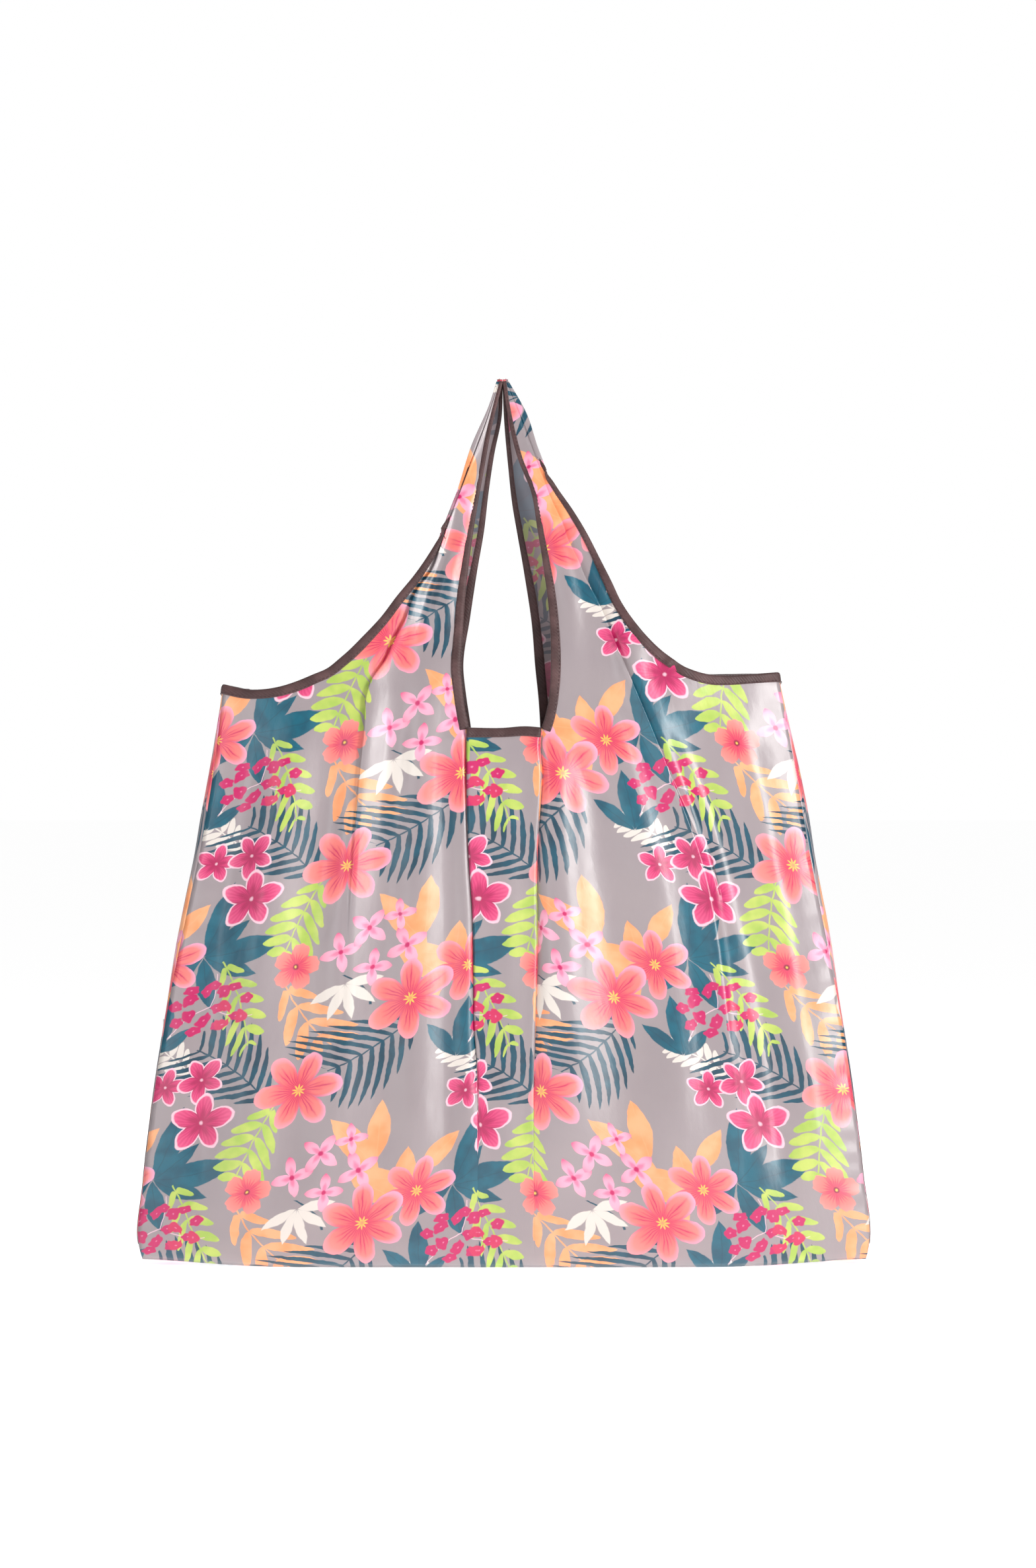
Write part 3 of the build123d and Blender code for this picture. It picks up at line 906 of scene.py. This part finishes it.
def frames(edge, inner, facing):
    ahead = np.gradient(edge, axis=0)
    ahead /= np.linalg.norm(ahead, axis=1)[:, None]
    across = inner - edge
    if facing:  # keep the tape flat in the sheet's plane, whatever the cloth does beside it
        outward = np.array([0.0, facing, 0.16])
        flat = np.cross(ahead, outward)
        flat *= np.sign((flat * across).sum(1))[:, None]
        across = flat
    across -= (across * ahead).sum(1)[:, None] * ahead
    across /= np.linalg.norm(across, axis=1)[:, None]
    return ahead, across, np.cross(ahead, across)


def tapeRun(segments, pitch=2.2):  # segments meet end to end, and each end stays a station
    parts = [evenly(np.c_[edge, inner], pitch) for edge, inner in segments]
    line = np.concatenate([parts[0]] + [part[1:] for part in parts[1:]])
    return line[:, :3], line[:, 3:]


def sweepTape(name, runs, width, half, materials, seed=0.0, stitched=True):
    points, faces, kinds = [], [], []
    ring = len(foldedProfile)
    for segments, facing in runs:
        edge, inner = tapeRun(segments)
        ahead, across, out = frames(edge, inner, facing)
        run = np.r_[0, np.cumsum(np.linalg.norm(np.diff(edge, axis=0), axis=1))]
        wide = np.broadcast_to(width(edge[:, 2]), run.shape) * (1 + 0.035 * np.sin(run / 9 + seed))
        thick = np.broadcast_to(half(edge[:, 2]), run.shape)
        first = len(points)
        for k in range(len(edge)):
            pucker = 1 + 0.10 * math.sin(run[k] / 1.9 + seed) + 0.06 * math.sin(run[k] / 3.7 + 2 * seed)
            for a, b in foldedProfile:
                points.append(edge[k] + across[k] * a * wide[k] + out[k] * b * thick[k] * pucker)
        for k in range(len(edge) - 1):
            for j in range(ring):
                a, b = first + k * ring + j, first + k * ring + (j + 1) % ring
                faces.append((a, b, b + ring, a + ring))
        faces.append(tuple(first + j for j in range(ring))[::-1])
        faces.append(tuple(first + (len(edge) - 1) * ring + j for j in range(ring)))
        kinds += [0] * (len(faces) - len(kinds))
        if stitched:
            for n in range(int(run[-1] // tape["stitchPitch"])):
                start = n * tape["stitchPitch"] + 0.5
                for face in (1, -1):
                    addStitch(points, faces, run, edge, across, out, wide, thick,
                              [start, start + tape["stitchLength"]], face)
            kinds += [1] * (len(faces) - len(kinds))
    return meshObject(name, points, faces, materials, faceMaterials=kinds)


def addStitch(points, faces, run, edge, across, out, wide, thick, ends, face):
    first = len(points)
    radius = tape["stitchRadius"]
    for share, size in ((0.0, 0.5), (0.2, 1.0), (0.8, 1.0), (1.0, 0.5)):
        at = ends[0] + (ends[1] - ends[0]) * share
        fields = (edge, across, out)
        spot = [np.array([np.interp(at, run, field[:, k]) for k in range(3)]) for field in fields]
        inset = np.interp(at, run, wide) - tape["stitchInset"]
        lift = np.interp(at, run, thick) + radius * (0.5 if 0 < share < 1 else -0.6)
        middle = spot[0] + spot[1] * inset + spot[2] * face * lift
        for side, rise in ((1, 0), (0, 1), (-1, 0), (0, -1)):
            points.append(middle + spot[1] * side * radius * size + spot[2] * face * rise * radius * size)
    for k in range(3):
        for j in range(4):
            a, b = first + 4 * k + j, first + 4 * k + (j + 1) % 4
            faces.append((a, b, b + 4, a + 4))
    faces.append(tuple(first + j for j in (3, 2, 1, 0)))
    faces.append(tuple(first + 12 + j for j in range(4)))


def declare(piece, node, handle=None):
    if handle:  # a piece on a handle only gets its placement baked into its mesh, with no parent
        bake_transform(piece)
    else:
        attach(piece, "bag")
    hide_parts(node)


def buildPanel(sheet):
    grids = sheetGrids(sheet)
    facing = sheet["facing"]
    whole = solidSheet(sheet["name"] + "Cloth", grids.values(), printedCloth, clothInside, facing > 0)
    level = shoulderLevel * mm
    body = keepFaces(whole, sheet["name"] + "_panel_cloth", lambda p: p.z < level)
    declare(body, sheet["name"] + "_panel", None)
    for side, sign in (("left", -1), ("right", 1)):
        name = f"{side}_{sheet['name']}_strap"
        strap = keepFaces(whole, name + "_cloth", lambda p: p.z > level and p.x * sign > -2 * mm)
        keepSide(strap, sign)
        declare(strap, name, side + "_handle")
    bpy.data.objects.remove(whole)
    return grids


# near the top the two straps cross the middle, so loose faces are told apart
def keepSide(piece, sign):
    work = bmesh.new()
    work.from_mesh(piece.data)
    work.verts.ensure_lookup_table()
    unseen = set(work.verts)
    islands = []
    while unseen:
        island, front = set(), [unseen.pop()]
        while front:
            vertex = front.pop()
            island.add(vertex)
            for edge in vertex.link_edges:
                other = edge.other_vert(vertex)
                if other in unseen:
                    unseen.discard(other)
                    front.append(other)
        islands.append(island)
    for island in islands:
        if sum(v.co.x for v in island) * sign < 0:
            bmesh.ops.delete(work, geom=list(island), context="VERTS")
    work.to_mesh(piece.data)
    work.free()


print("building the panels")
frontGrids = buildPanel(frontSheet)
backGrids = buildPanel(backSheet)


# side gussets, between the seams of the panels
gusset = {
    "columns": 23,
    "bulge": [(0, 1), (14, 1.5), (120, 2.2), (216, 3.8), (297, 6.6), (335, 6.8), (364, 5.5), (402, 4),
              (437, 2)],
    "tuck": [(0, 2), (120, 6), (300, 14), (437, 20)],
    "topDip": 3.0,
    "flat": (0.075, 0.44),
}


def gussetGrid(side):
    sign = -1 if side == "left" else 1
    column = 0 if side == "left" else -1
    front, frontCloth = frontGrids[side + "Shoulder"]
    back, backCloth = backGrids[side + "Shoulder"]
    shares = np.linspace(0, 1, gusset["columns"])
    grid = np.zeros((len(front), gusset["columns"], 3))
    cloth = np.zeros((len(front), gusset["columns"], 2))
    for r in range(len(front)):
        a, b = front[r, column], back[r, column]
        z = a[2]
        swell = curveAt(gusset["bulge"], z) * np.sin(math.pi * shares) ** 0.55 * 1.1
        tuck = curveAt(gusset["tuck"], z) * np.exp(-(((shares - 0.5) / 0.15) ** 2))
        wave = 0.8 * np.sin(z / 19 + shares * 7) * np.sin(math.pi * shares) * smoothStep(0, 60, z)
        line = a + (b - a) * shares[:, None]
        line[:, 0] += sign * (swell - tuck + wave)
        line[:, 2] -= gusset["topDip"] * np.sin(math.pi * shares) * (r / (len(front) - 1)) ** 8
        grid[r] = line
        cloth[r, :, 0] = frontCloth[r, column, 0] + sign * 101 * shares + sign * 40
        cloth[r, :, 1] = frontCloth[r, column, 1]
    return grid, cloth


gussetGrids = {}
for side in ("left", "right"):
    gussetGrids[side] = gussetGrid(side)
    piece = solidSheet(side + "_gusset_cloth", [gussetGrids[side]], printedCloth, clothInside, side == "left")
    declare(piece, side + "_gusset", None)


# base, between the hems
base = {"rows": 15, "flat": (0.545, 0.084), "sag": 0.5}


def baseGrid():
    hems = [grid[0] for grid, cloth in frontGrids.values()]
    xs = np.unique(np.round(np.concatenate(hems)[:, 0], 2))
    xs = xs[np.r_[True, np.diff(xs) > 1.2]]
    shares = np.linspace(0, 1, base["rows"])
    grid = np.zeros((base["rows"], len(xs), 3))
    front, back = -bulge(frontSheet, xs, 0.0), bulge(backSheet, xs, 0.0)
    for r, share in enumerate(shares):
        grid[r, :, 0] = xs
        grid[r, :, 1] = front + (back - front) * share
        wave = 0.5 * np.sin(xs / 23) * math.sin(math.pi * share) * math.sin(5 * share)
        grid[r, :, 2] = lowerEdge(xs, 0.0) + base["sag"] * np.abs(wave)
    cloth = np.stack([grid[:, :, 0], -grid[:, :, 1] - 44], 2)
    return grid, cloth


piece = solidSheet("base_cloth", [baseGrid()], printedCloth, clothInside, True)
declare(piece, "base_panel", None)
print("gussets and base ready")


# bindings, swept whole and then split where the handles begin
def rowAt(level):
    body, neck, strap = levels()
    return len(body) + len(neck) - 1 if level == shoulderLevel else len(body) - 1


neckRow, shoulderRow = rowAt(neckLevel), rowAt(shoulderLevel)


def widthAt(z):
    return curveAt(tape["strapWidths"], z)


def thicknessAt(z):
    return curveAt(tape["strapThickness"], z)


def edgeSegment(grid, rows, column, inward):
    return grid[rows, column], grid[rows, column + inward]


def keepPart(whole, name, test, node, handle=None):
    declare(keepFaces(whole, name, test), node, handle)


# from the top of the front strap, round the armhole and gusset, to the top of the back strap
def armholeTapes(side):
    toSeam = slice(None, None, -1) if side == "left" else slice(None)
    column, inward = (0, 6) if side == "left" else (-1, -6)
    above = slice(shoulderRow, None)
    front, back = frontGrids[side + "Shoulder"][0], backGrids[side + "Shoulder"][0]
    middle = gussetGrids[side][0]
    frontStrap = edgeSegment(frontGrids[side + "Strap"][0], above, column, inward)
    backStrap = edgeSegment(backGrids[side + "Strap"][0], above, column, inward)
    edge = np.concatenate([front[-1, toSeam], middle[-1, 1:-1], back[-1, toSeam][::-1]])
    inner = np.concatenate([front[-3, toSeam], middle[-3, 1:-1], back[-3, toSeam][::-1]])
    segments = [[line[::-1] for line in frontStrap], (edge, inner), backStrap]
    whole = sweepTape(side + "Armhole", [(segments, 0)], widthAt, thicknessAt, [bindingTape, thread], 0.7)
    level = shoulderLevel * mm
    keepPart(whole, side + "_armhole_tape", lambda p: p.z < level, side + "_armhole_binding")
    for sheet, sign in (("front", -1), ("back", 1)):
        name = f"{side}_{sheet}_outer"
        keepPart(whole, name + "_tape", lambda p: p.z > level and p.y * sign > 0, name + "_binding",
                 side + "_handle")
    bpy.data.objects.remove(whole)


def neckTapes(sheet, grids):
    left, right, centre = grids["leftStrap"][0], grids["rightStrap"][0], grids["centre"][0]
    below, above = slice(neckRow, shoulderRow + 1), slice(shoulderRow, None)
    across = slice(5, 22)
    level, facing = shoulderLevel * mm, sheet["facing"]
    sides = {
        "left": [[line[::-1] for line in edgeSegment(left, above, -1, -7)],
                 [line[::-1] for line in edgeSegment(left, below, -1, -7)]],
        "right": [edgeSegment(right, below, 0, 7), edgeSegment(right, above, 0, 7)],
    }
    bottom = [(centre[-1, across], centre[-3, across])]
    runs = [(sides["left"], facing), (sides["right"], facing), (bottom, facing)]
    whole = sweepTape(sheet["name"] + "Neck", runs, widthAt, thicknessAt, [bindingTape, thread], 1.9)
    neck = sheet["name"] + "_neck"
    keepPart(whole, neck + "_tape", lambda p: p.z < level, neck + "_binding")
    bpy.data.objects.remove(whole)
    for side, segments in sides.items():
        whole = sweepTape(side + "Inner", [(segments, facing)], widthAt, thicknessAt,
                          [bindingTape, thread], 1.9)
        name = f"{side}_{sheet['name']}_inner"
        keepPart(whole, name + "_tape", lambda p: p.z > level, name + "_binding", side + "_handle")
        bpy.data.objects.remove(whole)


for side in ("left", "right"):
    armholeTapes(side)
neckTapes(frontSheet, frontGrids)
neckTapes(backSheet, backGrids)
print("bindings ready")


# seam tapes inside the bag
seam = {"width": 6.0, "halfThickness": 0.35, "inset": 0.7, "low": 16, "high": 424}


def insideTape(name, edge, inner, node):
    made = sweepTape(name, [([(edge, inner)], 0)], lambda z: seam["width"], lambda z: seam["halfThickness"],
                     [seamTape, thread], 0.2, False)
    declare(made, node)


def seamTapes():
    for grids, sheet in ((frontGrids, frontSheet), (backGrids, backSheet)):
        for side in ("left", "right"):
            column = 0 if side == "left" else -1
            grid = grids[side + "Shoulder"][0]
            rows = (grid[:, column, 2] > seam["low"]) & (grid[:, column, 2] < seam["high"])
            step = 3 if side == "left" else -4
            edge, inner = grid[rows, column].copy(), grid[rows, step].copy()
            for line in (edge, inner):
                line[:, 1] -= sheet["facing"] * (bag["clothThickness"] + seam["inset"] + 0.6)
            insideTape(f"{sheet['name']}_{side}_seam_tape", edge, inner, f"{sheet['name']}_{side}_seam")


def baseSeam():
    inset, level = 3.0, 5.0
    halfX, halfY = sideAt(level) - inset - 2, curveAt(bodyDepth, level) * (1 - bag["sideDrop"]) - 1
    turns = np.linspace(0, 2 * math.pi, 241)

    def squared(v):  # rounds the corners of the loop
        return np.sign(v) * np.abs(v) ** 0.35

    edge = np.stack([halfX * squared(np.cos(turns)), halfY * squared(np.sin(turns)), level + 0 * turns], 1)
    inner = edge + np.array([0, 0, 6.0])
    insideTape("base_seam_tape", edge, inner, "base_seam")


seamTapes()
baseSeam()


# seams at the top of the handles
crown = {"rise": 2.0, "columns": 7, "steps": 9}


def crownPiece(side):
    front = frontGrids[side + "Strap"][0][-1]
    back = backGrids[side + "Strap"][0][-1]
    pick = np.linspace(0, len(front) - 1, crown["columns"]).astype(int)
    grid = np.zeros((crown["steps"], crown["columns"], 3))
    for k, share in enumerate(np.linspace(0, 1, crown["steps"])):
        a, b = front[pick], back[pick]
        grid[k] = a + (b - a) * (1 - math.cos(math.pi * share)) / 2
        grid[k, :, 2] += crown["rise"] * math.sin(math.pi * share)
    cloth = np.stack([grid[:, :, 0] * 3 + 60, grid[:, :, 1] * 2 + 300], 2)
    made = solidSheet(side + "_top_seam_cloth", [(grid, cloth)], printedCloth, clothInside, False)
    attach(made, side + "_handle")
    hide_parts(side + "_top_seam")


for side in ("left", "right"):
    crownPiece(side)


# closure tab, its anchor and the care label
closure = {
    "halfWidth": 9.0,
    "top": 370.5,
    "bottom": 272.0,
    "anchorTop": 391.0,
    "gap": 2.0,
}


def backFace(z):
    low, high = (217.0, 46.0), (433.0, 39.0)
    return low[1] + (high[1] - low[1]) * (z - low[0]) / (high[0] - low[0])


def tabPiece(name, low, high, lift, roundEnd):
    rows = np.linspace(low, high, round((high - low) / 2) + 1)
    across = np.linspace(-1, 1, 13)
    grid = np.zeros((len(rows), len(across), 3))
    for r, z in enumerate(rows):
        half = closure["halfWidth"]
        if roundEnd and z < low + half:
            half *= math.sqrt(max(0.02, 1 - ((low + half - z) / half) ** 2))
        grid[r, :, 0] = across * half
        padding = 0.35 * (1 - across**8) + 0.12 * np.sin(z / 2.4) * np.abs(across) ** 3
        grid[r, :, 1] = backFace(z) + lift + padding
        grid[r, :, 2] = z
    cloth = np.stack([grid[:, :, 0] - 60, grid[:, :, 2] - 40], 2)
    return solidSheet(name, [(grid, cloth)], bindingTape, bindingTape, True)


def tabs():
    tab = tabPiece("closure_tab_cloth", closure["bottom"], closure["top"], closure["gap"] + 0.5, True)
    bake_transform(tab)
    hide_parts("closure_tab")
    anchor = tabPiece("tab_anchor_cloth", closure["top"] - 1.0, closure["anchorTop"], 1.2, False)
    declare(anchor, "tab_anchor")


def careLabel():
    low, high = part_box("care_label")
    xs = np.linspace(low.x, high.x, 14) / mm
    zs = np.linspace(low.z, high.z, 16) / mm
    grid = np.zeros((len(zs), len(xs), 3))
    for r, z in enumerate(zs):
        curl = ((xs - xs[0]) / (xs[-1] - xs[0])) ** 2
        grid[r, :, 0] = xs
        grid[r, :, 1] = 3.0 * curl * math.sin((z - zs[0]) / 11) + 0.3 * np.sin(xs / 3)
        grid[r, :, 2] = z
    points = grid.reshape(-1, 3)
    made = meshObject("care_label_satin", points, gridFaces(len(zs), len(xs), 0, False), [labelSatin])
    thick = made.modifiers.new("thickness", "SOLIDIFY")
    thick.thickness = 0.3 * mm
    applyModifiers(made)
    declare(made, "care_label")


tabs()
careLabel()

# press stud, kept as its CAD solids
for node in ("stud_flange", "stud_post", "snap_socket", "snap_cap"):
    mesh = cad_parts[node].data
    mesh.materials.clear()
    mesh.materials.append(snapMetal)
    mesh.polygons.foreach_set("use_smooth", [False] * len(mesh.polygons))
print("small parts ready")
